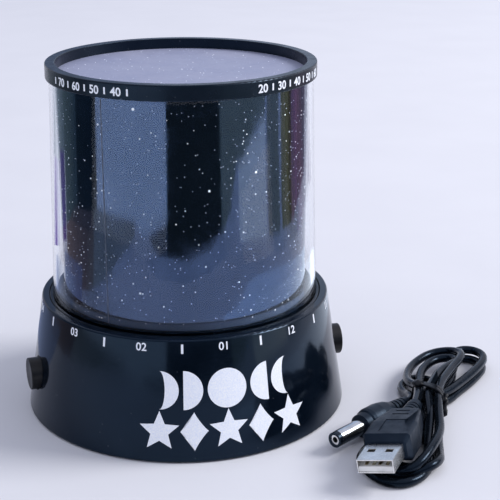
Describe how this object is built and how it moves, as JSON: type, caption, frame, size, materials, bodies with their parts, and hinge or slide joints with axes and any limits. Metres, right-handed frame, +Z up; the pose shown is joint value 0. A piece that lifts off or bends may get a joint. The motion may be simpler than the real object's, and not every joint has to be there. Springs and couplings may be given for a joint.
{
  "type": "planetarium projector",
  "caption": "Round tapered base with side push buttons and a clear drum holding a star film; a power lead in a tied hank lies beside it.",
  "frame": {"origin": "centre of the base's footprint, on the surface that its rubber feet stand on", "axes": "+Z up along the drum's axis, -Y to the front where month 1 is printed, +X to the right seen from the front"},
  "size_m": [0.1753, 0.1528, 0.1239],
  "materials": {
    "housing_gloss": "glossy black ABS",
    "rim_gloss": "semi-gloss black",
    "clear_acrylic": "clear, polished",
    "star_film": "dark printed film with clear star points",
    "star_disc": "dark printed disc with clear star points",
    "matte_black": "fine moulded texture",
    "button_black": "satin",
    "foot_rubber": "matte",
    "steel": "zinc plated",
    "nickel": "nickel plated",
    "brass": "plated",
    "circuit_board": "solder mask",
    "white_plastic": "moulded",
    "led_white": "clear epoxy",
    "led_red": "tinted epoxy",
    "led_green": "tinted epoxy",
    "led_blue": "tinted epoxy",
    "resistor_tan": "lacquered",
    "capacitor_black": "sleeved",
    "wire_red": "insulation",
    "wire_black": "insulation",
    "lead_cable": "satin PVC jacket",
    "plug_moulding": "moulded PVC"
  },
  "bodies": {
    "base": {"base_housing": "housing_gloss", "bottom_cover": "matte_black", "battery_springs": "nickel", "battery_plates": "nickel", "cover_screws": "steel", "rubber_feet": "foot_rubber", "led_post": "matte_black", "led_board": "circuit_board", "white_led": "led_white", "red_led": "led_red", "green_led": "led_green", "blue_led": "led_blue", "post_screws": "steel", "main_board": "circuit_board", "board_screws": "steel", "wire_connectors": "white_plastic", "control_chip": "matte_black", "capacitor": "capacitor_black", "resistors": "resistor_tan", "left_switch": "matte_black", "right_switch": "matte_black", "dc_jack": "matte_black", "dc_jack_pin": "nickel", "battery_wires": "wire_red", "led_wires": "wire_red", "left_switch_wires": "wire_black", "right_switch_wires": "wire_black", "jack_wires": "wire_red"},
    "socket": {"socket_ring": "matte_black"},
    "drum": {"drum_tube": "clear_acrylic", "star_film": "star_film", "star_disc": "star_disc", "spacer_ring": "matte_black", "top_rim": "rim_gloss"},
    "door": {"battery_door": "matte_black"},
    "left_key": {"left_button": "button_black"},
    "right_key": {"right_button": "button_black"},
    "lead": {"lead_hank": "lead_cable", "lead_tie": "matte_black", "lead_cable_usb": "lead_cable", "lead_cable_dc": "lead_cable", "usb_plug_shell": "nickel", "usb_plug_tongue": "white_plastic", "usb_plug_contacts": "brass", "usb_plug_grip": "plug_moulding", "dc_plug_barrel": "nickel", "dc_plug_tip": "matte_black", "dc_plug_contact": "brass", "dc_plug_grip": "plug_moulding"}
  },
  "joints": [
    {"name": "drum_turn", "type": "hinge", "parent": "base", "child": "socket", "pos_m": [0, 0, 0.0383], "axis": [0, 0, 1], "continuous": true},
    {"name": "drum_lift", "type": "slide", "parent": "socket", "child": "drum", "axis": [0, 0, 1], "range_m": [0, 0.09]},
    {"name": "left_press", "type": "slide", "parent": "base", "child": "left_key", "axis": [0.9976, 0.0698, 0], "range_m": [0, 0.0015], "stiffness_N_per_m": 400, "springref_m": -0.002},
    {"name": "right_press", "type": "slide", "parent": "base", "child": "right_key", "axis": [-0.9976, 0.0698, 0], "range_m": [0, 0.0015], "stiffness_N_per_m": 400, "springref_m": -0.002},
    {"name": "door_swing", "type": "hinge", "parent": "base", "child": "door", "pos_m": [0, -0.0302, 0.0013], "axis": [-1, 0, 0], "range_deg": [0, 100]},
    {"name": "lead_lift", "type": "slide", "parent": "base", "child": "lead", "axis": [0, 0, 1], "range_m": [0, 0.12]}
  ]
}
